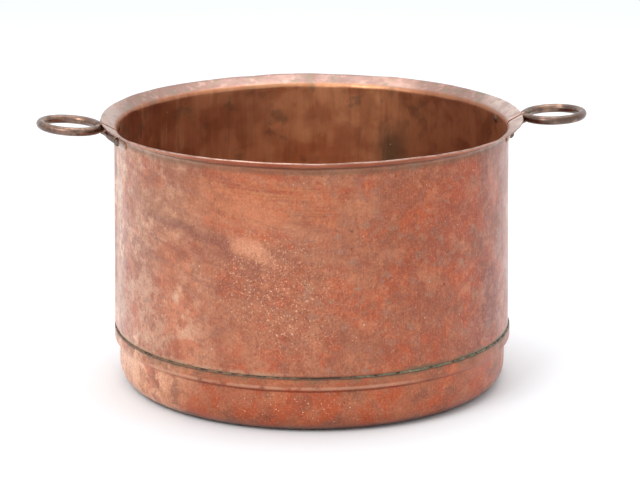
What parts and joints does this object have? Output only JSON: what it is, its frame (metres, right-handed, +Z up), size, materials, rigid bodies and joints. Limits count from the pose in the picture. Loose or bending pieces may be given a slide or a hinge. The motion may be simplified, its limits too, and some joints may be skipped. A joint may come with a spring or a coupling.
{
  "type": "laundry copper boiler",
  "caption": "Round sheet-copper laundry boiler with a flared rim, a raised bottom pan and riveted ring handles standing out from the sides.",
  "frame": {"origin": "middle of the underside, on the surface that the boiler stands on", "axes": "+Z up, +X towards the right-hand handle, +Y towards the back"},
  "size_m": [0.7035, 0.5374, 0.3462],
  "materials": {
    "wall_copper": "worn, wiped copper sheet with a dull patina inside",
    "pan_copper": "darker red copper, spattered and fire-stained",
    "handle_copper": "dark brown patina on forged bar",
    "rivet_copper": "dull brown copper",
    "solder": "dull grey-brown tin-lead solder, stained"
  },
  "bodies": {
    "root": {"front_wall_sheet": "wall_copper", "back_wall_sheet": "wall_copper", "bottom_pan": "pan_copper", "seam_solder": "solder", "left_handle": "handle_copper", "right_handle": "handle_copper", "left_handle_front_rivet": "rivet_copper", "left_handle_rear_rivet": "rivet_copper", "right_handle_front_rivet": "rivet_copper", "right_handle_rear_rivet": "rivet_copper"}
  },
  "joints": []
}
